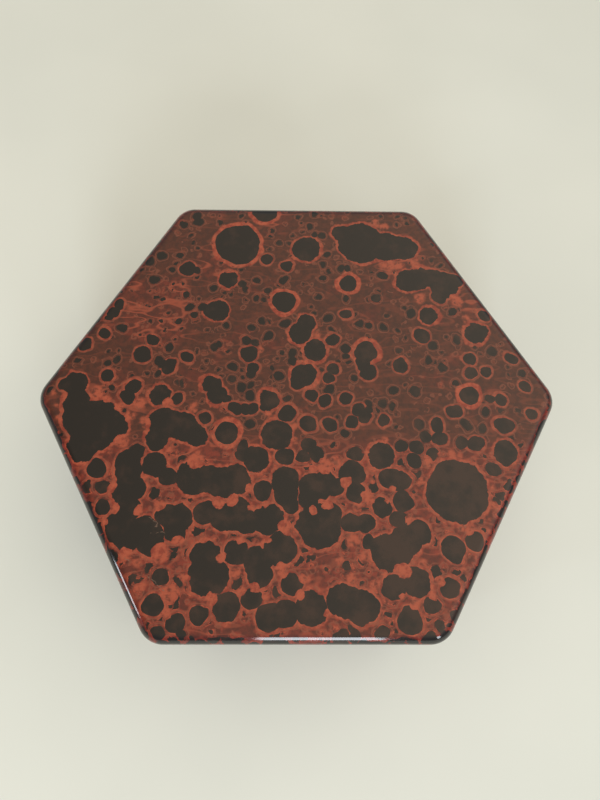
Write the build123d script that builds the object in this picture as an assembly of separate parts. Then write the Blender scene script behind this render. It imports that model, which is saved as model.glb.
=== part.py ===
"""A hexagonal lacquered box with a lift-off lid, built from mitred boards.

Millimetres, +Z up. The origin is the middle of the footprint, on the surface that the box stands on.
Two flat sides face the front (-Y) and the back (+Y), and two corners lie on the X axis.
"""

from build123d import *
import os
from math import cos, pi, tan

# Outside of the closed box
SIDES = 6
ACROSS_FLATS = 236.0
CORNER_RADIUS = 13.0  # upright outer corners, walls and lid alike
WALL = 8.0  # thickness of the side boards with their lacquer

# Foot ring
FOOT_HEIGHT = 4.0
FOOT_WIDTH = 10.0
FOOT_INSET = 2.5  # from the outside of the wall to the outside of the ring
FOOT_ROUND = 1.2  # outer edge that meets the table

# Lower box
BOX_WALL_HEIGHT = 50.0
WALL_FOOT_ROUND = 2.0  # lower outer edge of the walls
SEAM_ROUND = 0.7  # the outer edges that meet between the box and its lid
BASE_THICKNESS = 5.0
BASE_RISE = 4.0  # from the walls' lower edge to the underside of the base panel
GROOVE_DEPTH = 3.0  # groove in the walls that holds the base panel
PANEL_PLAY = 0.3  # between the base panel's edge and the bottom of its groove

# Lining, which stands above the rim as the lip that locates the lid
LINING = 3.0
LIP_HEIGHT = 9.0
LIP_ROUND = 1.0  # both top edges of the lip
LID_PLAY = 0.4  # between the lip and the inside of the lid

# Lid
LID_WALL_HEIGHT = 26.0
LID_EDGE = 7.4  # thickness of the top board at its edge
LID_EDGE_RADIUS = 6.8  # rolled edge round the top
LID_STEP = 2.0  # the part of the top board that drops between the lid's walls
STEP_PLAY = 0.2  # between that step and the lid's walls

# Loose tongues across the mitres
TONGUE_THICKNESS = 2.4
TONGUE_WIDTH = 6.0
TONGUE_STOP = 6.0  # from a tongue's end to the nearest open edge of the board
TONGUE_PLAY = 0.1  # glue space round a tongue

LEAST_FLAT = 0.2  # the flat that a rounded edge always leaves beside it

# Heights and distances that follow
SIDE_TURN = 360.0 / SIDES
HALF_SIDE = pi / SIDES
OUTSIDE = ACROSS_FLATS / 2  # from the middle of the box to the outside of a flat side
INSIDE = OUTSIDE - WALL
LINED = INSIDE - LINING
LID_INSIDE = INSIDE + LID_PLAY
BASE_BOTTOM = FOOT_HEIGHT + BASE_RISE
BASE_TOP = BASE_BOTTOM + BASE_THICKNESS
RIM = FOOT_HEIGHT + BOX_WALL_HEIGHT
LIP_TOP = RIM + LIP_HEIGHT
LID_BOARD = RIM + LID_WALL_HEIGHT  # the joint between the lid's walls and its top board
LID_TOP = LID_BOARD + LID_EDGE

SIDE_NAMES = ("front", "front_right", "back_right", "back", "back_left", "front_left")


def hexagon(apothem, corner=0.0):
    """Flat hexagon, measured from its middle to a side, with its corners rounded where asked."""
    face = RegularPolygon(apothem, SIDES, major_radius=False)
    return fillet(face.vertices(), corner) if corner > 0 else face


def prism(apothem, low, high, corner=0.0):
    """Upright hexagonal prism between two heights."""
    return Pos(0, 0, low) * extrude(hexagon(apothem, corner), high - low)


def rounded(solid, radius, end):
    """Rounds the outer edges at one end of a prism: end is 0 at the bottom and -1 at the top."""
    return fillet(solid.edges().group_by(Axis.Z)[end], radius)


def front_sector(reach, low, high):
    """The share of the box that belongs to the front side, cut off by the two mitre planes."""
    spread = reach * tan(HALF_SIDE)
    corners = [(0, 0), (spread, -reach), (-spread, -reach)]
    return Pos(0, 0, low) * extrude(make_face(Polyline(*corners, close=True)), high - low)


def front_board(ring, low, high):
    """The board of a ring that faces the front, mitred at both ends."""
    return ring & front_sector(2 * OUTSIDE, low, high)


def all_round(board, name):
    """One board turned to each side of the hexagon, as {node name: solid}."""
    return {f"{name}_{side}": Rot(0, 0, SIDE_TURN * i) * board for i, side in enumerate(SIDE_NAMES)}


def mitre_middle(inner_apothem):
    """Distance from the middle of the box to the middle of a mitre, along the corner."""
    inner_corner = inner_apothem / cos(HALF_SIDE)
    rounded_off = CORNER_RADIUS * (1 / cos(HALF_SIDE) - 1)
    outer_corner = OUTSIDE / cos(HALF_SIDE) - rounded_off
    return (inner_corner + outer_corner) / 2


def tongues(inner_apothem, low, high, play=0.0):
    """The loose tongues across all the mitres of a ring, or their slots where play is given."""
    size = (TONGUE_THICKNESS + 2 * play, TONGUE_WIDTH + 2 * play, high - low + 2 * play)
    tongue = Pos(mitre_middle(inner_apothem), 0, (low + high) / 2) * Box(*size)
    return [Rot(0, 0, SIDE_TURN * i) * tongue for i in range(SIDES)]


def box_tongues(play=0.0):
    return tongues(INSIDE, BASE_TOP + TONGUE_STOP, RIM - TONGUE_STOP, play)


def lid_tongues(play=0.0):
    return tongues(LID_INSIDE, RIM + TONGUE_STOP, LID_BOARD - TONGUE_STOP, play)


def foot_strip():
    """One side of the low ring that the box stands on."""
    outer = OUTSIDE - FOOT_INSET
    ring = prism(outer, 0, FOOT_HEIGHT, max(CORNER_RADIUS - FOOT_INSET, LEAST_FLAT))
    ring = rounded(ring, min(FOOT_ROUND, FOOT_HEIGHT - LEAST_FLAT), 0)
    ring -= prism(outer - FOOT_WIDTH, 0, FOOT_HEIGHT)
    return front_board(ring, 0, FOOT_HEIGHT)


def box_wall():
    """One side board of the lower box, grooved for the base panel."""
    ring = prism(OUTSIDE, FOOT_HEIGHT, RIM, CORNER_RADIUS)
    ring = rounded(ring, WALL_FOOT_ROUND, 0)
    ring = rounded(ring, SEAM_ROUND, -1)
    ring -= prism(INSIDE, FOOT_HEIGHT, RIM)
    ring -= prism(INSIDE + GROOVE_DEPTH, BASE_BOTTOM, BASE_TOP)
    ring -= box_tongues(TONGUE_PLAY)
    return front_board(ring, FOOT_HEIGHT, RIM)


def base_panel():
    """The floor of the box, held in the walls' groove."""
    return prism(INSIDE + GROOVE_DEPTH - PANEL_PLAY, BASE_BOTTOM, BASE_TOP)


def lining_board():
    """Thin board inside a wall, standing on the base and rising above the rim as the lip."""
    soft = min(LIP_ROUND, LINING / 2 - LEAST_FLAT)
    ring = rounded(prism(INSIDE, BASE_TOP, LIP_TOP), soft, -1)
    ring -= prism(LINED, BASE_TOP, LIP_TOP)
    board = front_board(ring, BASE_TOP, LIP_TOP)
    inner_edge = board.edges().filter_by(Axis.X).group_by(Axis.Z)[-1].sort_by(Axis.Y)[-1]
    return fillet(inner_edge, soft)


def lid_wall():
    """One side board of the lid."""
    ring = rounded(prism(OUTSIDE, RIM, LID_BOARD, CORNER_RADIUS), SEAM_ROUND, 0)
    ring -= prism(LID_INSIDE, RIM, LID_BOARD)
    ring -= lid_tongues(TONGUE_PLAY)
    return front_board(ring, RIM, LID_BOARD)


def lid_panel():
    """The top board, with a rolled edge and a step that drops between the lid's walls."""
    roll = min(LID_EDGE_RADIUS, LID_EDGE - LEAST_FLAT, CORNER_RADIUS - LEAST_FLAT)
    board = rounded(prism(OUTSIDE, LID_BOARD, LID_TOP, CORNER_RADIUS), roll, -1)
    return board + prism(LID_INSIDE - STEP_PLAY, LID_BOARD - LID_STEP, LID_BOARD)


def nodes():
    """Every piece of the box by its node name."""
    made = {"base_panel": base_panel(), "lid_panel": lid_panel()}
    made["box_mitre_tongues"] = Compound(children=box_tongues())
    made["lid_mitre_tongues"] = Compound(children=lid_tongues())
    made |= all_round(foot_strip(), "foot_strip")
    made |= all_round(box_wall(), "box_wall")
    made |= all_round(lining_board(), "lining")
    made |= all_round(lid_wall(), "lid_wall")
    return made


os.makedirs("parts", exist_ok=True)
for node, shape in nodes().items():
    export_step(shape, f"parts/{node}.step")
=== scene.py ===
"""Looks of the hexagonal lacquered box: boards with rolled edges, and mottled red and black lacquer."""

from math import cos, pi, radians, sin, tan

import bpy
from mathutils import Matrix, Vector


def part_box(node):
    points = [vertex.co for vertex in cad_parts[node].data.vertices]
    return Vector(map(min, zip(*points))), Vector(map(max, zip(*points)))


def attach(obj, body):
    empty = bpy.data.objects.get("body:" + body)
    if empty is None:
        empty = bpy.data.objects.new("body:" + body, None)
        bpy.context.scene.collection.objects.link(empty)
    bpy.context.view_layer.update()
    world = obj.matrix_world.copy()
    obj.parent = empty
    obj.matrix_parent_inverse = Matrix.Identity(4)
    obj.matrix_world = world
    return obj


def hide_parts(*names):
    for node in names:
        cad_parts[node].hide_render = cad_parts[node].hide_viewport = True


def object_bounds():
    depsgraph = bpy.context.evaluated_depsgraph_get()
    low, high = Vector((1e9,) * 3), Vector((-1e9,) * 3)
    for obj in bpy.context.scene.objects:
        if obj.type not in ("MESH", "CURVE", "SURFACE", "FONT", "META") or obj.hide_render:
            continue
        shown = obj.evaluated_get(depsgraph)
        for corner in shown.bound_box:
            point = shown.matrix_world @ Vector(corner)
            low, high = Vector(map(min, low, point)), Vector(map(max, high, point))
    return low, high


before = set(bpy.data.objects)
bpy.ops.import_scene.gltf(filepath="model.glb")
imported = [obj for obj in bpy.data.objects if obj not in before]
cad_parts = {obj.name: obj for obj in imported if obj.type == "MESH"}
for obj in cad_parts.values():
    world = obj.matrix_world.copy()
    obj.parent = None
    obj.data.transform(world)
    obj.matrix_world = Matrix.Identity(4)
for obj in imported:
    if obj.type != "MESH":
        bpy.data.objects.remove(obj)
cad_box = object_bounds()

MM = 0.001

# Sizes of the box in millimetres, from model.glb where it gives them
SIDES = 6
HALF_SIDE = pi / SIDES
SIDE_NAMES = ("front", "front_right", "back_right", "back", "back_left", "front_left")
OUTSIDE = cad_box[1].y / MM  # from the middle to a flat side
TOP = cad_box[1].z / MM
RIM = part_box("lid_wall_front")[0].z / MM  # where the lid meets the box
LID_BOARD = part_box("lid_wall_front")[1].z / MM
LID_STEP_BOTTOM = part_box("lid_panel")[0].z / MM
LID_INSIDE = -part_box("lid_wall_front")[1].y / MM
INSIDE = -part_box("box_wall_front")[1].y / MM
FOOT_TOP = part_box("foot_strip_front")[1].z / MM
FOOT_OUTSIDE = -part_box("foot_strip_front")[0].y / MM
FOOT_INSIDE = -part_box("foot_strip_front")[1].y / MM
LINED = -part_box("lining_front")[1].y / MM
LIP_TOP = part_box("lining_front")[1].z / MM
BASE_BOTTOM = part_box("base_panel")[0].z / MM
BASE_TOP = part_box("base_panel")[1].z / MM
GROOVE_DEPTH = 3.0
GROOVE = INSIDE + GROOVE_DEPTH  # from the middle to the bottom of the groove for the base panel
CORNER = 13.0  # radius of the upright outer corners
SOFT_CORNER = 0.3  # the lacquer's small radius in the corners of inner faces
ROLL = 6.8  # radius of the edge round the top
SEAM_ROUND = 0.7
WALL_FOOT_ROUND = 2.0
FOOT_ROUND = 1.2
LIP_ROUND = 1.0
STEP_PLAY = 0.2  # between the top board's step and the lid's walls

ROLL_STEPS = 20
SMALL_STEPS = 5
CORNER_STEPS = 10  # in each half of an upright corner
OUTER_FACES = INSIDE + 1.0  # past this distance from the middle, corners have the outer radius

# Material slots of a lacquered board
SHOW = 0
PLAIN = 1
WOOD = 2


# Boards

def straight(start, end, normal, slot):
    """One flat stretch of a board's section: (start, end, normal at start, normal at end, slot)."""
    return [(start, end, normal, normal, slot)]


def arc(centre, radius, first, last, steps, slot):
    """A rounded edge of a board's section, in degrees from outwards to upwards."""
    turns = [radians(first + (last - first) * i / steps) for i in range(steps + 1)]
    normals = [(cos(t), sin(t)) for t in turns]
    points = [(centre[0] + radius * n[0], centre[1] + radius * n[1]) for n in normals]
    return [(points[i], points[i + 1], normals[i], normals[i + 1], slot) for i in range(steps)]


def corner_radius(apothem):
    """Radius of the upright corner of the face at that distance from the middle."""
    if apothem < OUTER_FACES:
        return SOFT_CORNER
    return CORNER - (OUTSIDE - apothem)


def corner_turns():
    """Angles of the half corner at each end of the front side, from its straight middle."""
    return [HALF_SIDE * i / CORNER_STEPS for i in range(CORNER_STEPS + 1)]


def outline_point(apothem, side, end, turn):
    """A point of the outline: its side, which end of it, and how far round the corner it is."""
    radius = corner_radius(apothem)
    centre_x = (apothem - radius) * tan(HALF_SIDE)
    x = end * (centre_x + radius * sin(turn))
    y = -(apothem - radius) - radius * cos(turn)
    swing = 2 * HALF_SIDE * side
    return Vector((x * cos(swing) - y * sin(swing), x * sin(swing) + y * cos(swing)))


def outward(side, end, turn):
    """The outline's outward direction at such a point."""
    angle = -pi / 2 + end * turn + 2 * HALF_SIDE * side
    return Vector((cos(angle), sin(angle)))


def stations(side):
    """The stations along one side board, from its left mitre to its right one."""
    turns = corner_turns()
    return [(side, -1, t) for t in reversed(turns)] + [(side, 1, t) for t in turns]


def swept(name, section, stops, all_round):
    """A mesh that carries a section past the stations, with the true normals of the surface.

    A side board has a closed section and a mitre face at each end. A board that goes all round has an open
    section, which two flat faces close above and below.
    """
    points = [segment[0] for segment in section]
    if all_round:
        points.append(section[-1][1])
    vertices = []
    for stop in stops:
        for apothem, height in points:
            flat = outline_point(apothem, *stop)
            vertices.append((flat.x * MM, flat.y * MM, height * MM))
    count, across = len(stops), len(points)
    faces, slots, normals = [], [], []
    for i in range(count if all_round else count - 1):
        j = (i + 1) % count
        here, there = outward(*stops[i]), outward(*stops[j])
        for k, (_, _, low, high, slot) in enumerate(section):
            m = (k + 1) % across
            faces.append((i * across + k, i * across + m, j * across + m, j * across + k))
            slots.append(slot)
            for way, edge in ((here, low), (here, high), (there, high), (there, low)):
                normals.append((way.x * edge[0], way.y * edge[0], edge[1]))
    if all_round:
        add_flats(faces, slots, normals, count, across)
    else:
        add_mitres(faces, slots, normals, stops, across)
    return make_mesh(name, vertices, faces, slots, normals)


def add_mitres(faces, slots, normals, stops, across):
    """The two mitre faces of a side board."""
    last = (len(stops) - 1) * across
    loops = (tuple(reversed(range(across))), tuple(last + k for k in range(across)))
    for loop, (side, end, _) in zip(loops, (stops[0], stops[-1])):
        way = outward(side, end, HALF_SIDE + pi / 2)
        faces.append(loop)
        slots.append(WOOD)
        normals.extend([(way.x, way.y, 0.0)] * across)


def add_flats(faces, slots, normals, count, across):
    """The flat middle of the top board, above and below."""
    faces.append(tuple(i * across for i in range(count)))
    slots.append(SHOW)
    normals.extend([(0.0, 0.0, 1.0)] * count)
    faces.append(tuple(i * across + across - 1 for i in reversed(range(count))))
    slots.append(PLAIN)
    normals.extend([(0.0, 0.0, -1.0)] * count)


def make_mesh(name, vertices, faces, slots, normals):
    """A smooth piece with a material slot for each face and a normal for each of its corners."""
    mesh = bpy.data.meshes.new(name)
    mesh.from_pydata(vertices, [], faces)
    for polygon, slot in zip(mesh.polygons, slots):
        polygon.material_index = slot
        polygon.use_smooth = True
    mesh.normals_split_custom_set([Vector(n).normalized() for n in normals])
    mesh.validate()
    piece = bpy.data.objects.new(name, mesh)
    bpy.context.scene.collection.objects.link(piece)
    return piece


def lid_panel_section():
    """From the flat top over the rolled edge and down to the underside of the step."""
    step = LID_INSIDE - STEP_PLAY
    section = arc((OUTSIDE - ROLL, TOP - ROLL), ROLL, 90, 0, ROLL_STEPS, SHOW)
    section += straight((OUTSIDE, TOP - ROLL), (OUTSIDE, LID_BOARD), (1, 0), SHOW)
    section += straight((OUTSIDE, LID_BOARD), (step, LID_BOARD), (0, -1), WOOD)
    section += straight((step, LID_BOARD), (step, LID_STEP_BOTTOM), (1, 0), PLAIN)
    return section


def lid_wall_section():
    """From the joint with the top board down the outside, and back up the inside."""
    round_at = (OUTSIDE - SEAM_ROUND, RIM + SEAM_ROUND)
    section = straight((OUTSIDE, LID_BOARD), (OUTSIDE, RIM + SEAM_ROUND), (1, 0), SHOW)
    section += arc(round_at, SEAM_ROUND, 0, -90, SMALL_STEPS, SHOW)
    section += straight((OUTSIDE - SEAM_ROUND, RIM), (LID_INSIDE, RIM), (0, -1), PLAIN)
    section += straight((LID_INSIDE, RIM), (LID_INSIDE, LID_BOARD), (-1, 0), PLAIN)
    section += straight((LID_INSIDE, LID_BOARD), (OUTSIDE, LID_BOARD), (0, 1), WOOD)
    return section


def box_wall_section():
    """From the seam down the outside, and back up the inside past the groove for the base panel."""
    seam_at = (OUTSIDE - SEAM_ROUND, RIM - SEAM_ROUND)
    foot_at = (OUTSIDE - WALL_FOOT_ROUND, FOOT_TOP + WALL_FOOT_ROUND)
    section = arc(seam_at, SEAM_ROUND, 90, 0, SMALL_STEPS, SHOW)
    section += straight((OUTSIDE, seam_at[1]), (OUTSIDE, foot_at[1]), (1, 0), SHOW)
    section += arc(foot_at, WALL_FOOT_ROUND, 0, -90, 2 * SMALL_STEPS, SHOW)
    section += straight((foot_at[0], FOOT_TOP), (INSIDE, FOOT_TOP), (0, -1), PLAIN)
    section += straight((INSIDE, FOOT_TOP), (INSIDE, BASE_BOTTOM), (-1, 0), PLAIN)
    section += straight((INSIDE, BASE_BOTTOM), (GROOVE, BASE_BOTTOM), (0, 1), WOOD)
    section += straight((GROOVE, BASE_BOTTOM), (GROOVE, BASE_TOP), (-1, 0), WOOD)
    section += straight((GROOVE, BASE_TOP), (INSIDE, BASE_TOP), (0, -1), WOOD)
    section += straight((INSIDE, BASE_TOP), (INSIDE, RIM), (-1, 0), WOOD)
    section += straight((INSIDE, RIM), (seam_at[0], RIM), (0, 1), PLAIN)
    return section


def lining_section():
    """Over the lip from the inside, down behind the lining, and back under it."""
    outer_at = (INSIDE - LIP_ROUND, LIP_TOP - LIP_ROUND)
    inner_at = (LINED + LIP_ROUND, LIP_TOP - LIP_ROUND)
    section = arc(inner_at, LIP_ROUND, 180, 90, SMALL_STEPS, SHOW)
    section += straight((inner_at[0], LIP_TOP), (outer_at[0], LIP_TOP), (0, 1), SHOW)
    section += arc(outer_at, LIP_ROUND, 90, 0, SMALL_STEPS, SHOW)
    section += straight((INSIDE, outer_at[1]), (INSIDE, BASE_TOP), (1, 0), SHOW)
    section += straight((INSIDE, BASE_TOP), (LINED, BASE_TOP), (0, -1), WOOD)
    section += straight((LINED, BASE_TOP), (LINED, inner_at[1]), (-1, 0), SHOW)
    return section


def foot_section():
    """From the top of the foot ring down its outside, and back up its inside."""
    round_at = (FOOT_OUTSIDE - FOOT_ROUND, FOOT_ROUND)
    section = straight((FOOT_OUTSIDE, FOOT_TOP), (FOOT_OUTSIDE, FOOT_ROUND), (1, 0), SHOW)
    section += arc(round_at, FOOT_ROUND, 0, -90, SMALL_STEPS, SHOW)
    section += straight((round_at[0], 0), (FOOT_INSIDE, 0), (0, -1), SHOW)
    section += straight((FOOT_INSIDE, 0), (FOOT_INSIDE, FOOT_TOP), (-1, 0), SHOW)
    section += straight((FOOT_INSIDE, FOOT_TOP), (FOOT_OUTSIDE, FOOT_TOP), (0, 1), WOOD)
    return section


# Shader nodes

class Net:
    """The nodes of a material or world, made with short calls. A value is a number, a tuple or a socket."""

    def __init__(self, owner):
        self.owner = owner
        owner.use_nodes = True
        self.tree = owner.node_tree
        self.tree.nodes.clear()

    def add(self, kind, inputs=None, **settings):
        node = self.tree.nodes.new(kind)
        for key, value in settings.items():
            setattr(node, key, value)
        for key, value in (inputs or {}).items():
            self.feed(node.inputs[key], value)
        return node

    def feed(self, socket, value):
        if isinstance(value, bpy.types.NodeSocket):
            self.tree.links.new(value, socket)
        else:
            socket.default_value = value

    def math(self, operation, *values):
        return self.add("ShaderNodeMath", dict(enumerate(values)), operation=operation).outputs[0]

    def vector(self, operation, *values):
        node = self.add("ShaderNodeVectorMath", dict(enumerate(values)), operation=operation)
        return node.outputs["Value" if operation in ("DISTANCE", "DOT_PRODUCT") else "Vector"]

    def scaled(self, vector, factor):
        return self.add("ShaderNodeVectorMath", {0: vector, "Scale": factor}, operation="SCALE").outputs[0]

    def axes(self, vector):
        split = self.add("ShaderNodeSeparateXYZ", {"Vector": vector})
        return [split.outputs[axis] for axis in "XYZ"]

    def step(self, value, low, high, start=0.0, end=1.0):
        """Goes smoothly from start to end as the value goes from low to high."""
        if low > high:
            low, high, start, end = high, low, end, start
        inputs = {"Value": value, "From Min": low, "From Max": high, "To Min": start, "To Max": end}
        return self.add("ShaderNodeMapRange", inputs, interpolation_type="SMOOTHSTEP").outputs[0]

    def mix(self, factor, first, second, blend="MIX"):
        inputs = {0: factor, 6: first, 7: second}
        return self.add("ShaderNodeMix", inputs, data_type="RGBA", blend_type=blend).outputs[2]

    def noise(self, vector, scale, detail=2.0, roughness=0.5, out="Fac"):
        """Soft noise with that many swings per millimetre, and finer ones for its detail."""
        inputs = {"Vector": vector, "Scale": scale, "Detail": detail, "Roughness": roughness}
        return self.add("ShaderNodeTexNoise", inputs).outputs[out]

    def least(self, values, blend=0.0):
        """The smallest of several distances, run together where two are about equal."""
        found = values[0]
        for value in values[1:]:
            if blend:
                found = self.math("SMOOTH_MIN", found, value, blend)
            else:
                found = self.math("MINIMUM", found, value)
        return found

    def greatest(self, values):
        found = values[0]
        for value in values[1:]:
            found = self.math("MAXIMUM", found, value)
        return found

    def millimetres(self):
        """The spot's place on the box at rest."""
        return self.scaled(self.add("ShaderNodeTexCoord").outputs["Object"], 1 / MM)

    def surface(self, inputs):
        shader = self.add("ShaderNodeBsdfPrincipled", inputs)
        self.add("ShaderNodeOutputMaterial", {"Surface": shader.outputs["BSDF"]})
        return self.owner


# Black bubbles of the mottled lacquer on the top of the lid: {radius: places}, in millimetres
LARGE_BUBBLES = {
    14.0: [(78, -49)],
    13.0: [(35.5, 92.5), (-102, -16)],
    9.5: [(50, 90), (10.5, -65)],
    8.0: [(81, 65), (-67, -15), (4.5, 88), (-41.5, -88), (-110.5, -12), (60, 89.5)],
    7.0: [(61, 68), (68, 70), (-107, -27), (-113, -4.5), (-58, -16.5), (-10.5, -20), (-51.5, -43),
          (42, -78)],
    6.2: [(1, 35.5), (9.5, 25.5), (96, 36), (74.5, 70), (-91.5, -16.5), (-115.5, 6), (-82, -48.5),
          (-84, -66), (-72, -69), (52, -72), (47, -78), (6, -102.5), (29.5, -102), (21, -99), (-37, -45),
          (-30.5, -44), (-29, -60), (-44.5, 48.5), (-57.5, -63), (-8, -76.5), (-14, -62.5)],
    5.2: [(24.5, 99), (71.5, 46.5), (-39, 68), (4, 41), (-71, -0.5), (-71, -23), (-51, -21), (-43, -43.5),
          (-20.5, -33), (41.5, -31), (-6, -44.5), (-14.5, -3), (7, -47), (13.5, -46), (26.5, -41),
          (104, -29), (-42, 0), (-45, 5.5), (-32, -101.5), (-19, -82), (-35, -62), (55, -91),
          (-79.5, -71), (-69, -73.5), (-83, -40), (-70.5, -36.5), (-43, -79), (14.5, -61)],
}
MEDIUM_BUBBLES = {
    4.3: [(-62, 74.5), (-85, 4.5), (-87, -1.5), (-82, 22), (-67, 15.5), (66.5, 34), (54, 17),
          (80.5, -8.5), (105, -15.5), (73, -76), (-26, 23), (0, 7), (5.5, 13.5), (5.5, -15), (-5, -10),
          (-84, -34.5), (49.5, -44), (58, -69), (78, 58.5), (87, 68), (-5, -51), (37, 13), (34, 18),
          (-44, -60), (-24.5, -63.5), (-17, -88), (-13, -106), (-5.5, -104.5), (51, -107), (44, -93),
          (-80.5, -58.5), (-61.5, -61), (-58, -68), (-29, -78), (46, -43)],
    3.4: [(-18, 81), (-6.5, 77), (-97.5, 52), (-100.5, 47), (-103.5, 34.5), (-77.5, 30.5), (-58.5, 21),
          (-112.5, 28), (-121, 5.5), (-98.5, 10), (18.5, 31.5), (25.5, 47), (91, 21), (90.5, 13),
          (99, 14), (113, 21), (118.5, 6), (101, 46.5), (71, -15.5), (71.5, -22), (-24, 15), (18.5, 15),
          (15.5, 9.5), (7, 0), (13.5, -3), (24.5, -1.5), (31, -8), (27.5, -14), (34, -11.5), (44, -13),
          (16, -15.5), (-32, -7), (-27, -7), (-23, -7), (-47, -12), (-6.5, -32), (5.5, -53.5), (18, -47),
          (28.5, -50), (26, -64), (32, -64.5), (-16.5, -48.5), (51, -54), (70.5, -93.5), (84, -73),
          (-63.5, -42.5), (-98.5, -38.5), (-78, -49), (-61.5, -2), (-3, -92), (-20.5, -98.5),
          (-65.5, -101), (120, -9.5), (105, -2), (89.5, -24.5), (40.5, -57), (-16, -6.5)],
}
SMALL_BUBBLES = {
    2.6: [(-77, 83), (-79.5, 67.5), (-83.5, 79), (-65.5, 104), (-59, 110), (-58, 106), (-51.5, 50.5),
          (-59, 51), (-94, 37.5), (-71.5, 17.5), (-73.5, 19), (-68, 26.5), (-44, 26.5), (-8, 68),
          (-31, 65), (84, 48.5), (61, 47.5), (46.5, 71), (85, 31.5), (103.5, 25.5), (71.5, 28.5),
          (16.5, 44.5), (43, 57), (-7, 41.5), (-16, 33), (-27.5, 31), (-23, 29.5), (-25, 12),
          (-3.5, 23.5), (-3, 19), (26, 26.5), (15.5, 3), (43.5, -4), (49, 3), (60.5, 2.5), (76, 16),
          (61, -15), (64.5, -21), (52, -26.5), (59.5, -27), (82.5, -24.5), (96, -8.5), (99.5, -1.5),
          (85, -15.5), (5.5, -26), (9.5, -30.5), (29, -30.5), (-24.5, -15.5), (-34, 16), (-10, 11),
          (-29.5, 4), (-24, 0.5), (-36.5, -2), (-80.5, -30), (-93.5, -57), (-63.5, -89), (-44, -105),
          (-62, -113.5), (48, -62), (61.5, -100.5), (-3, -56), (-54.5, -108.5)],
    2.0: [(-67.5, 83), (-57, 73.5), (-70.5, 74), (-62, 58), (-56, 45.5), (-102, 43.5), (-65, 42),
          (-11.5, 91.5), (6, 103), (9.5, 97.5), (13.5, 97.5), (9, 112), (16, 84.5), (13.5, 77.5),
          (13.5, 69), (-23.5, 67.5), (-17, 60.5), (-29, 61.5), (-23, 56.5), (24, 75.5), (27.5, 75),
          (26, 56.5), (11.5, 58), (38, 40), (33, 41), (46, 39), (-19, 42), (-24.5, 38.5), (-39, 40),
          (-46.5, 62.5), (-100, 17.5), (-95.5, 19.5), (-95, 3.5), (-72.5, 12), (-41.5, 28.5), (-34.5, 8),
          (-24.5, 5.5), (26, 22), (29.5, 9.5), (53, 25.5), (68.5, 20), (82.5, 7.5), (49, -6), (-27, -27),
          (-27.5, -31.5), (-5.5, -2), (36, -5), (36, -8), (2.5, -32), (57.5, -34), (67.5, -30.5),
          (93.5, -16.5), (118.5, 13), (23, -20), (-95, -48), (33, -73), (96.5, -38), (-51.5, -115),
          (38.5, -113.5)],
}

# Black bubbles with a broad bright ring
RINGED_BUBBLES = {
    13.0: [(-34.5, 91)],
    7.0: [(-19.5, 113)],
    6.2: [(-8, 54), (36, 24.5), (3, 11.5), (-36, -20)],
    5.2: [(27.5, 66), (89, 0.5)],
}

# Bright red lumps, which lie over the black bubbles
RED_LUMPS = {
    5.2: [(-50, -34), (13.5, -36.5), (-64, -78.5), (-58, -96)],
    4.3: [(87, 56), (-103, 0.5), (-88, -25), (-5.5, -67), (25.5, -72.5), (-7, -86), (49.5, -86),
          (-80, -78.5)],
    3.8: [(52, 77.5), (66, 79), (67, 57), (-80.5, -4.5), (19, -35), (76.5, -30.5), (64, -34),
          (-66.5, -56), (-56.5, -73), (-31.5, -54), (-38, -54.5), (23.5, -45), (30.5, -79.5),
          (24.5, -89.5), (-29, -87), (3.5, -89.5), (-39.5, -98.5), (58.5, -83), (-72, -94), (53.5, -100),
          (34.5, -52.5), (35.5, -92.5)],
    3.2: [(56, 77.5), (48, 77.5), (49.5, 104), (-84, -12.5), (-77, -15), (-66.5, -4), (-64, -29),
          (-53, -7), (45, 106), (92, 45), (7, -38), (-87, -58), (-90, -48), (-76, -58.5), (-75, -83),
          (-52, -89), (-44, -71), (-59, -104.5), (-24, -48.5), (14.5, -56), (7, -58), (28.5, -57),
          (19.5, -81), (39.5, -87), (-35.5, -79.5), (-27, -72), (-25.5, -94.5), (-19, -93.5),
          (-14.5, -97.5), (0.5, -97), (47, -85), (60, -44.5), (53.5, -62.5), (77.5, -67), (82, -67),
          (94.5, -56), (66, -90), (62, -96)],
    2.5: [(-97, -3), (-91, -7), (-86, -10.5), (-93, -30), (-14.5, -11), (-1.5, -17), (-1.5, -24),
          (43.5, -23.5), (34, -33), (34, -29), (35, -38), (-20, 25.5), (10.5, 34.5), (72, -31),
          (80.5, -30.5), (-92, -64.5), (-15.5, -54.5), (-22, -57), (36.5, -45), (-33, -70),
          (-20.5, -72.5), (-14, -72), (43, -53.5), (46, -48.5), (13.5, -104), (93, -62), (83.5, -80.5),
          (92, -68.5), (77, -84.5), (47, -97), (96, -47)],
    1.8: [(-125, 0), (-123.5, -6), (-121.5, -13), (-120, -20)],
}

# Where the ground between the bubbles is redder
REDDER_GROUND = {
    22.0: [(-76, 46)],
    16.0: [(58, 80), (-92, -2)],
    11.0: [(-12, 108), (92, 50), (-56, -26), (-48, 78), (14, -36)],
}

# Hairline scratches on the top: (start, end)
SCRATCHES = (
    ((-88, -74), (-60, -96)),
    ((-71, -62), (-66, -64)),
    ((-66, -64), (-69, -69)),
    ((-69, -69), (-63, -70)),
    ((74, -58), (80, -66)),
)

FAR = 60.0  # stands for a distance to bubbles that aren't there
GONE = 30.0  # added to a distance, takes a bubble away

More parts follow.
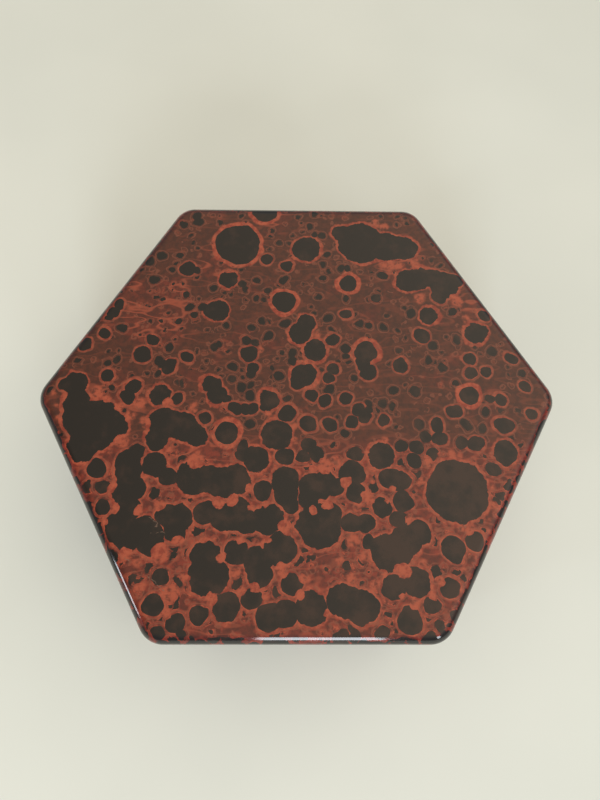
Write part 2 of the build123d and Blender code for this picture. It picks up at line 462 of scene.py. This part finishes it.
# Bubbles scattered over the sides, in three sizes, and smaller ones between the placed bubbles:
# (cells per millimetre, smallest radius, largest radius, share of the cells that have one)
SIDE_BUBBLES = ((0.042, 5.0, 14.0, 0.90), (0.085, 2.5, 6.8, 0.95), (0.17, 0.9, 3.0, 0.90))
SPECKS = (0.22, 0.5, 1.6, 0.42)
FILLERS = (0.15, 1.4, 3.8, 0.95)
SPECKS_CLEAR = 1.5  # how far they keep from the placed bubbles
FILLERS_CLEAR = 2.0
EMPTY_CELL = 5.0  # added to the distance in a cell that has no bubble

# How far the bubbles waver
BROAD_SWAY = 4.2
FINE_SHAKE = 2.0
ROUNDER_SHAKE = 0.45  # share of the fine shake that the rounder bubbles have
MIDDLE = (0.5, 0.5, 0.5)  # middle of a noise colour

# Towards the front the placed bubbles swell until only veins are left between them
FRONT_STARTS = -12.0
FRONT_FULL = -34.0
FRONT_SWELL = 1.5
ROLL_SHADE_SWELL = 0.4  # the scattered bubbles swell on the rolled edge, in part the lacquer's own black, in part painted shade

FLOW_WAY = radians(-38)
FLOW_DRAWN = 0.3  # along the flow, against 1 across it
SHEEN_LEAN = (0.0008, -0.0007, 0.0)  # how fast the painted reflection on the top grows in each direction

# Colours in linear light
BLACK = (0.0040, 0.0036, 0.0034, 1)
# the red smoking through the black, and the colour of a painted reflection on the top
SMOKE_AND_SHEEN = (0.0280, 0.0135, 0.0095, 1)
BROWN = (0.0800, 0.0185, 0.0090, 1)
DARK_BROWN = (0.0500, 0.0130, 0.0075, 1)
DEEP_RED = (0.0800, 0.0130, 0.0080, 1)
RED = (0.2350, 0.0300, 0.0150, 1)
ORANGE = (0.4000, 0.0820, 0.0400, 1)
PALE_LINE = (0.2200, 0.0640, 0.0360, 1)
# painted shade: darkens and deepens the red on the sides and the rolled edge
PAINTED_SIDE_SHADE = (0.66, 0.36, 0.33, 1)
SCRATCHED = (0.1500, 0.0950, 0.0700, 1)

PLAIN_BLACK = (0.0075, 0.0062, 0.0058, 1)
PLAIN_BLACK_WORN = (0.0150, 0.0100, 0.0085, 1)
PALE_WOOD = (0.50, 0.31, 0.16, 1)
DARK_WOOD = (0.30, 0.16, 0.075, 1)
LACQUER_IOR = 1.5
POLISHED = 0.045  # least roughness
SATIN = 0.16


# Bubbles of the mottled lacquer, as distances to their edges that are less than zero inside them

def discs(net, where, table, blend=0.0):
    """Distance to the edge of the nearest disc in a table."""
    edges = []
    for radius, places in table.items():
        middles = [net.vector("DISTANCE", where, (x, y, TOP)) for x, y in places]
        edges.append(net.math("SUBTRACT", net.least(middles), radius))
    return net.least(edges, blend)


def scattered(net, where, scale, smallest, largest, share):
    """Distance to the edge of the nearest of many scattered bubbles, of mixed sizes."""
    cells = net.add("ShaderNodeTexVoronoi", {"Vector": where, "Scale": scale, "Randomness": 1.0})
    kinds = net.add("ShaderNodeSeparateColor", {"Color": cells.outputs["Color"]}).outputs
    kept = net.math("LESS_THAN", kinds[1], share)
    size = net.math("MULTIPLY_ADD", kinds[0], largest - smallest, smallest)
    size = net.math("MULTIPLY", size, kept)
    distance = net.math("DIVIDE", cells.outputs["Distance"], scale)
    missing = net.math("MULTIPLY_ADD", kept, -EMPTY_CELL, EMPTY_CELL)
    return net.math("ADD", net.math("SUBTRACT", distance, size), missing)


def wavering(net, where):
    """Two wavering copies of the place, as bubbles are never quite round. The second wavers less."""
    broad = net.noise(where, 0.11, detail=1.0, out="Color")
    fine = net.noise(where, 0.45, detail=2.0, out="Color")
    sway = net.scaled(net.vector("SUBTRACT", broad, MIDDLE), BROAD_SWAY)
    shake = net.scaled(net.vector("SUBTRACT", fine, MIDDLE), FINE_SHAKE)
    swayed = net.vector("ADD", where, sway)
    bent = net.vector("ADD", swayed, shake)
    rounder = net.vector("ADD", swayed, net.scaled(shake, ROUNDER_SHAKE))
    return bent, rounder


def top_share(net, where, height):
    """1 on the flat top and 0 on the sides, with a ragged border on the rolled edge."""
    depth = net.math("SUBTRACT", TOP, height)
    ragged = net.noise(where, 0.16, detail=2.0)
    depth = net.math("MULTIPLY", depth, net.math("MULTIPLY_ADD", ragged, 2.4, -0.2))
    return net.step(depth, 1.0, 0.05)


class Spot:
    """A spot of the mottled lacquer: its place, and the shares and noises that go with it."""

    def __init__(self, net):
        self.where = net.millimetres()
        _, self.ahead, self.height = net.axes(self.where)
        self.bent, self.rounder = wavering(net, self.where)
        self.on_top = top_share(net, self.where, self.height)
        self.front = net.step(self.ahead, FRONT_STARTS, FRONT_FULL)
        self.patches = net.noise(self.where, 0.055, detail=3.0, roughness=0.55)
        self.cloud = net.noise(self.where, 0.33, detail=4.0, roughness=0.6)


def placed_bubbles(net, spot):
    """The large, medium and small bubbles that have their own places on the top."""
    swell = net.math("MULTIPLY", spot.front, net.math("MULTIPLY", spot.on_top, FRONT_SWELL))
    large = discs(net, spot.bent, LARGE_BUBBLES, blend=1.2)
    medium = discs(net, spot.rounder, MEDIUM_BUBBLES)
    small = discs(net, spot.rounder, SMALL_BUBBLES)
    return [net.math("SUBTRACT", edge, swell) for edge in (large, medium, small)]


def side_bubbles(net, spot):
    """The large, medium and small bubbles scattered over the sides and the rolled edge, where they swell,
    in part as painted shade.
    """
    # painted shade: more black on the rolled edge
    on_roll = net.step(spot.height, TOP - ROLL - 2.0, TOP - ROLL + 2.0, 0.0, ROLL_SHADE_SWELL)
    off_top = net.math("SUBTRACT", net.math("MULTIPLY", spot.on_top, GONE), on_roll)
    return [net.math("ADD", scattered(net, spot.bent, *kind), off_top) for kind in SIDE_BUBBLES]


def gap_bubbles(net, spot, placed):
    """Specks everywhere, and fillers in the wide gaps at the front."""
    specks = scattered(net, spot.bent, *SPECKS)
    specks = net.math("MAXIMUM", specks, net.math("SUBTRACT", SPECKS_CLEAR, placed))
    fillers = scattered(net, spot.bent, *FILLERS)
    fillers = net.math("MAXIMUM", fillers, net.math("SUBTRACT", FILLERS_CLEAR, placed))
    behind = net.math("MULTIPLY", net.math("SUBTRACT", 1.0, spot.front), GONE)
    return [specks, net.math("ADD", fillers, behind)]


class Bubbles:
    """The distances from a spot to the bubbles of each kind, to the lumps and to the redder ground."""

    def __init__(self, net, spot, for_top):
        large = medium = small = lumps = FAR
        self.ringed = self.redder = FAR
        if for_top:
            large, medium, small = placed_bubbles(net, spot)
            self.ringed = discs(net, spot.rounder, RINGED_BUBBLES)
            lumps = discs(net, spot.bent, RED_LUMPS)
            self.redder = discs(net, spot.where, REDDER_GROUND, blend=6.0)
        placed = net.least([large, medium, small, self.ringed])
        side_large, side_medium, side_small = side_bubbles(net, spot)
        self.big = net.least([large, side_large])
        self.middling = net.least([medium, side_medium])
        self.little = net.least([small, side_small] + gap_bubbles(net, spot, placed))
        self.lumps = net.math("ADD", lumps, net.math("MULTIPLY_ADD", spot.front, 0.7, 0.1))
        nearest = net.least([self.big, self.middling, self.little, self.ringed])
        self.black = net.math("MAXIMUM", nearest, net.math("MULTIPLY", self.lumps, -1.0))


# Colours of the mottled lacquer

def how_red(net, spot, redder):
    """The ground is brown over most of the top, in part red in patches, and red at the front and sides."""
    towards_front = net.step(net.math("MULTIPLY_ADD", spot.cloud, 16.0, spot.ahead), -10.0, -24.0)
    on_sides = net.step(spot.on_top, 0.6, 0.2)
    in_patches = net.step(spot.patches, 0.56, 0.70, 0.0, 0.6)
    return net.greatest([towards_front, redder, on_sides, in_patches])


def plain_ground(net, spot, bubbles, redness):
    """Brown and red, and deep red in the middle of wide gaps."""
    brown = net.mix(net.step(spot.cloud, 0.38, 0.62), DARK_BROWN, BROWN)
    red = net.mix(net.step(spot.cloud, 0.36, 0.62), DEEP_RED, RED)
    core = net.step(bubbles.black, 0.7, 2.6)
    core = net.math("MULTIPLY", core, net.step(spot.patches, 0.35, 0.60, 0.25, 0.75))
    return net.mix(redness, brown, net.mix(core, red, DEEP_RED))


def flow_lines(net, spot, redness, redder):
    """Curved streaks, drawn out to one side."""
    drawn = net.add("ShaderNodeMapping", {
        "Vector": spot.where,
        "Rotation": (0, 0, FLOW_WAY),
        "Scale": (FLOW_DRAWN, 1.0, 1.0),
    }).outputs[0]
    streams = net.noise(drawn, 0.085, detail=2.0)
    rings = net.math("PINGPONG", net.math("MULTIPLY", streams, 6.5), 0.5)
    strength = net.math("MULTIPLY_ADD", redder, 0.7, net.math("MULTIPLY_ADD", redness, 0.2, 0.12))
    return net.math("MULTIPLY", net.step(rings, 0.34, 0.48), strength)


def band(net, edge, width, soft):
    """A band outside an edge, as wide as the width given."""
    return net.step(net.math("SUBTRACT", edge, width), soft, -soft)


def line(net, edge, away, outer, inner):
    """A thin line that far outside an edge. It fades from its inner to its outer half width."""
    return net.step(net.math("ABSOLUTE", net.math("SUBTRACT", edge, away)), outer, inner)


def bright_rims(net, spot, bubbles):
    """Broad rings round a few bubbles, and uneven ones round the big and the middling."""
    width = net.math("MULTIPLY_ADD", spot.patches, 4.0, -0.6)
    narrower = net.math("MULTIPLY", width, 0.75)
    round_ringed = band(net, bubbles.ringed, 2.3, 0.5)
    round_big = net.math("MULTIPLY", band(net, bubbles.big, width, 0.5), 0.85)
    round_middling = net.math("MULTIPLY", band(net, bubbles.middling, narrower, 0.4), 0.7)
    return net.greatest([round_ringed, round_big, round_middling])


def thin_rims(net, bubbles):
    """Thin pale rings a little outside the middling and the little bubbles."""
    nearest = net.least([bubbles.little, bubbles.middling])
    return net.math("MULTIPLY", line(net, nearest, 0.95, 0.42, 0.08), 0.6)


def bright_lumps(net, spot, bubbles):
    """The lumps, the brightest of all, unevenly so."""
    broken = net.step(spot.cloud, 0.34, 0.58, 0.15, 0.85)
    return net.math("MULTIPLY", net.step(bubbles.lumps, 0.4, -1.6), broken)


def outlines(net, spot, bubbles, redness):
    """A lighter line where red meets black."""
    outline = line(net, bubbles.black, 0.25, 0.30, 0.05)
    outline = net.math("MULTIPLY", outline, net.step(spot.cloud, 0.42, 0.60))
    return net.math("MULTIPLY", outline, net.math("MULTIPLY_ADD", redness, 0.6, 0.2))


def ground_colour(net, spot, bubbles):
    """The ground between the black bubbles, from its plain colours to the lines on it, with painted shade
    that darkens it on the sides and the rolled edge.
    """
    redder = net.math("MULTIPLY_ADD", spot.patches, 24.0, bubbles.redder)
    redder = net.step(redder, 16.0, 6.0, 0.0, 0.5)
    redness = how_red(net, spot, redder)
    ground = plain_ground(net, spot, bubbles, redness)
    ground = net.mix(flow_lines(net, spot, redness, redder), ground, ORANGE)
    bright = net.mix(net.step(spot.cloud, 0.35, 0.65), RED, ORANGE)
    ground = net.mix(bright_rims(net, spot, bubbles), ground, bright)
    ground = net.mix(thin_rims(net, bubbles), ground, PALE_LINE)
    ground = net.mix(bright_lumps(net, spot, bubbles), ground, ORANGE)
    ground = net.mix(outlines(net, spot, bubbles, redness), ground, ORANGE)
    # painted shade: the ground is made darker on the sides and the rolled edge
    painted_shade_on_sides = net.mix(1.0, ground, PAINTED_SIDE_SHADE, blend="MULTIPLY")
    return net.mix(spot.on_top, painted_shade_on_sides, ground)


def smoky_black_and_sheen(net, spot):
    """Black with a little of the red smoking through, and a painted reflection that browns it more towards
    the front right of the top.
    """
    smoke_and_sheen = net.noise(spot.where, 0.085, detail=5.0, roughness=0.6)
    # painted reflection: more brown towards the front right of the top
    sheen_lean = net.vector("DOT_PRODUCT", spot.where, SHEEN_LEAN)
    smoke_and_sheen = net.math("ADD", smoke_and_sheen, net.math("MULTIPLY", sheen_lean, spot.on_top))
    return net.mix(net.step(smoke_and_sheen, 0.46, 0.72), BLACK, SMOKE_AND_SHEEN)


def mottled_lacquer(name, for_top):
    """The mottled lacquer of the top board, where bubbles and scratches have their places, or of a side."""
    net = Net(bpy.data.materials.new(name))
    spot = Spot(net)
    bubbles = Bubbles(net, spot, for_top)
    ground = ground_colour(net, spot, bubbles)
    colour = net.mix(net.step(bubbles.black, 0.15, -0.15), ground, smoky_black_and_sheen(net, spot))
    grain = net.step(net.noise(spot.where, 2.6, detail=2.0), 0.35, 0.75, 0.0, 0.14)
    colour = net.mix(grain, colour, net.mix(0.5, colour, DARK_BROWN))
    scratch = scratches(net, spot.bent) if for_top else 0.0
    colour = net.mix(net.math("MULTIPLY", scratch, 0.75), colour, SCRATCHED)
    return polished(net, spot.where, colour, scratch)


def scratches(net, where):
    """How far a spot is part of one of the hairline scratches on the top, from 0 to 1."""
    lines = []
    for start, end in SCRATCHES:
        run = Vector(end) - Vector(start)
        from_start = net.vector("SUBTRACT", where, (*start, TOP))
        along = net.vector("DOT_PRODUCT", from_start, (*(run / run.length_squared), 0.0))
        along = net.add("ShaderNodeClamp", {"Value": along}).outputs[0]
        nearest = net.scaled(net.add("ShaderNodeCombineXYZ", {"X": run.x, "Y": run.y}).outputs[0], along)
        lines.append(net.vector("DISTANCE", from_start, nearest))
    return net.step(net.least(lines), 0.34, 0.08)


def polished(net, where, colour, scratch):
    """Hand-polished lacquer: a faint waviness, fine hairlines, and slightly uneven gloss."""
    wave = net.noise(where, 0.05, detail=2.0)
    peel = net.noise(where, 0.9, detail=2.0)
    stretched = net.vector("MULTIPLY", where, (0.05, 2.2, 1.0))
    hairs = net.step(net.noise(stretched, 1.0, detail=3.0), 0.66, 0.74)
    relief = net.math("MULTIPLY_ADD", wave, 0.6, net.math("MULTIPLY", peel, 0.05))
    relief = net.math("SUBTRACT", relief, net.math("MULTIPLY", hairs, 0.012))
    relief = net.math("SUBTRACT", relief, net.math("MULTIPLY", scratch, 0.05))
    bump = net.add("ShaderNodeBump", {"Height": relief, "Strength": 0.25, "Distance": 0.0004})
    wiped = net.noise(where, 0.03, detail=3.0)
    roughness = net.math("MULTIPLY_ADD", wiped, 0.06, POLISHED)
    roughness = net.math("MULTIPLY_ADD", hairs, 0.06, roughness)
    roughness = net.math("MULTIPLY_ADD", scratch, 0.25, roughness)
    return lacquer(net, colour, roughness, bump)


def lacquer(net, colour, roughness, bump):
    """The surface that both lacquers have in common."""
    return net.surface({
        "Base Color": colour,
        "Roughness": roughness,
        "IOR": LACQUER_IOR,
        "Normal": bump.outputs["Normal"],
    })


def black_lacquer():
    """Plain black lacquer inside and underneath, satin, with brush marks."""
    net = Net(bpy.data.materials.new("black_lacquer"))
    where = net.millimetres()
    cloud = net.noise(where, 0.06, detail=3.0)
    colour = net.mix(net.step(cloud, 0.35, 0.70), PLAIN_BLACK, PLAIN_BLACK_WORN)
    brushed = net.vector("MULTIPLY", where, (0.15, 0.15, 2.2))
    marks = net.noise(brushed, 0.8, detail=3.0)
    peel = net.noise(where, 0.7, detail=2.0)
    relief = net.math("MULTIPLY_ADD", marks, 0.5, net.math("MULTIPLY", peel, 0.3))
    bump = net.add("ShaderNodeBump", {"Height": relief, "Strength": 0.30, "Distance": 0.0003})
    roughness = net.math("MULTIPLY_ADD", cloud, 0.14, SATIN)
    return lacquer(net, colour, roughness, bump)


def bare_wood():
    """Pale planed wood at the joints."""
    net = Net(bpy.data.materials.new("bare_wood"))
    where = net.millimetres()
    grain_way = net.vector("MULTIPLY", where, (1.6, 1.6, 0.12))
    rings = net.noise(grain_way, 0.55, detail=5.0, roughness=0.6)
    colour = net.mix(net.step(rings, 0.35, 0.65), PALE_WOOD, DARK_WOOD)
    bump = net.add("ShaderNodeBump", {"Height": rings, "Strength": 0.4, "Distance": 0.0002})
    roughness = net.math("MULTIPLY_ADD", rings, 0.2, 0.5)
    return net.surface({"Base Color": colour, "Roughness": roughness, "Normal": bump.outputs["Normal"]})


top_lacquer = mottled_lacquer("mottled_lacquer", for_top=True)
side_lacquer = mottled_lacquer("mottled_lacquer_sides", for_top=False)
plain_black = black_lacquer()
wood = bare_wood()


# The pieces

def dress(piece, shown, body, node):
    """Gives a board its materials and puts it in the place of its CAD node."""
    for material in (shown, plain_black, wood):
        piece.data.materials.append(material)
    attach(piece, body)
    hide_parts(node)


def ring_of_boards(board, section, shown, body):
    """The six side boards that share a section."""
    for side, side_name in enumerate(SIDE_NAMES):
        node = f"{board}_{side_name}"
        piece = swept(f"{node}_board", section, stations(side), all_round=False)
        dress(piece, shown, body, node)


ring_of_boards("lid_wall", lid_wall_section(), side_lacquer, "lid")
ring_of_boards("box_wall", box_wall_section(), side_lacquer, "box")
ring_of_boards("lining", lining_section(), plain_black, "box")
ring_of_boards("foot_strip", foot_section(), plain_black, "box")

all_stations = [stop for side in range(SIDES) for stop in stations(side)[:-1]]
top_board = swept("lid_top_board", lid_panel_section(), all_stations, all_round=True)
dress(top_board, top_lacquer, "lid", "lid_panel")


def paint(node, material):
    """Gives a CAD node that shows as it is its material."""
    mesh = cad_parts[node].data
    mesh.materials.clear()
    mesh.materials.append(material)


paint("base_panel", plain_black)
paint("box_mitre_tongues", wood)
paint("lid_mitre_tongues", wood)


# Floor, light and camera, in metres

FLOOR_REACH = 30.0
CLOTH = (0.71, 0.775, 0.76, 1)
CLOTH_LIGHT = (0.76, 0.825, 0.81, 1)

WALL_LIGHT = (1.0, 1.0, 1.0, 1)
CEILING_LIGHT = (1.0, 0.86, 0.68, 1)
WALL_STRENGTH = 0.38
CEILING_STRENGTH = 1.06
CEILING_LEAN = 0.85  # how much stronger the ceiling is towards +X

# Windows: (name, azimuth in degrees from the front towards +X, width, height, watts)
WINDOWS = (
    ("window", 3.0, 0.47, 0.80, 16.0),
    ("window_right", 30.0, 0.25, 0.60, 5.0),
    ("window_left", -66.0, 0.20, 0.40, 3.0),
)
WINDOW_ELEVATION = 16.0
WINDOW_DISTANCE = 2.0
DAYLIGHT = (0.88, 0.94, 1.0)

# The photograph's viewpoint, found from the straight sides of the lid
EYE = Vector((-2.3, -89.0, 342.9)) * MM
LOOK = Vector((0.0124, 0.3204, -0.9472)).normalized()
ABOUT_UP = Vector((-0.0061, 0.9472, 0.3204))
FOCUS_PIXELS = 525.0
LONG_SIDE_PIXELS = 800.0
SENSOR_MM = 36.0
NEAREST_SEEN = 0.01


def pale_cloth():
    net = Net(bpy.data.materials.new("pale_cloth"))
    cloud = net.noise(net.millimetres(), 0.004, detail=3.0)
    colour = net.mix(net.step(cloud, 0.3, 0.7), CLOTH, CLOTH_LIGHT)
    return net.surface({"Base Color": colour, "Roughness": 0.9, "Specular IOR Level": 0.1})


def make_floor():
    mesh = bpy.data.meshes.new("floor")
    corners = [(x * FLOOR_REACH, y * FLOOR_REACH, 0) for x, y in ((-1, -1), (1, -1), (1, 1), (-1, 1))]
    mesh.from_pydata(corners, [], [(0, 1, 2, 3)])
    mesh.materials.append(pale_cloth())
    floor = bpy.data.objects.new("floor", mesh)
    bpy.context.scene.collection.objects.link(floor)


def make_world():
    """A bright warm ceiling, brighter to the right, over paler and dimmer walls."""
    world = bpy.data.worlds.new("studio")
    bpy.context.scene.world = world
    net = Net(world)
    right, _, up = net.axes(net.add("ShaderNodeTexCoord").outputs["Generated"])
    rise = net.step(up, 0.25, 0.80)
    ceiling = net.math("MULTIPLY_ADD", right, CEILING_LEAN, CEILING_STRENGTH)
    strength = net.add("ShaderNodeMapRange", {"Value": rise, "To Min": WALL_STRENGTH, "To Max": ceiling})
    background = net.add("ShaderNodeBackground", {
        "Color": net.mix(rise, WALL_LIGHT, CEILING_LIGHT),
        "Strength": strength.outputs[0],
    })
    net.add("ShaderNodeOutputWorld", {"Surface": background.outputs[0]})


def add_window(name, azimuth, width, height, watts):
    """A rectangular light that shines on the middle of the lid."""
    data = bpy.data.lights.new(name, "AREA")
    data.shape = "RECTANGLE"
    data.size = width
    data.size_y = height
    data.energy = watts
    data.color = DAYLIGHT
    lamp = bpy.data.objects.new(name, data)
    a, e = radians(azimuth), radians(WINDOW_ELEVATION)
    away = Vector((sin(a) * cos(e), -cos(a) * cos(e), sin(e))) * WINDOW_DISTANCE
    lamp.location = away + Vector((0, 0, TOP * MM))
    lamp.rotation_mode = "QUATERNION"
    lamp.rotation_quaternion = (-away).to_track_quat("-Z", "Y")
    bpy.context.scene.collection.objects.link(lamp)


def make_camera():
    right = LOOK.cross(ABOUT_UP).normalized()
    up = right.cross(LOOK)
    data = bpy.data.cameras.new("camera")
    data.sensor_width = SENSOR_MM
    data.lens = FOCUS_PIXELS / LONG_SIDE_PIXELS * SENSOR_MM
    data.clip_start = NEAREST_SEEN
    camera = bpy.data.objects.new("camera", data)
    turn = Matrix((right, up, -LOOK)).transposed()
    camera.matrix_world = Matrix.Translation(EYE) @ turn.to_4x4()
    bpy.context.scene.collection.objects.link(camera)
    bpy.context.scene.camera = camera


make_floor()
make_world()
for window in WINDOWS:
    add_window(*window)
make_camera()
bpy.context.scene.view_settings.view_transform = "Standard"
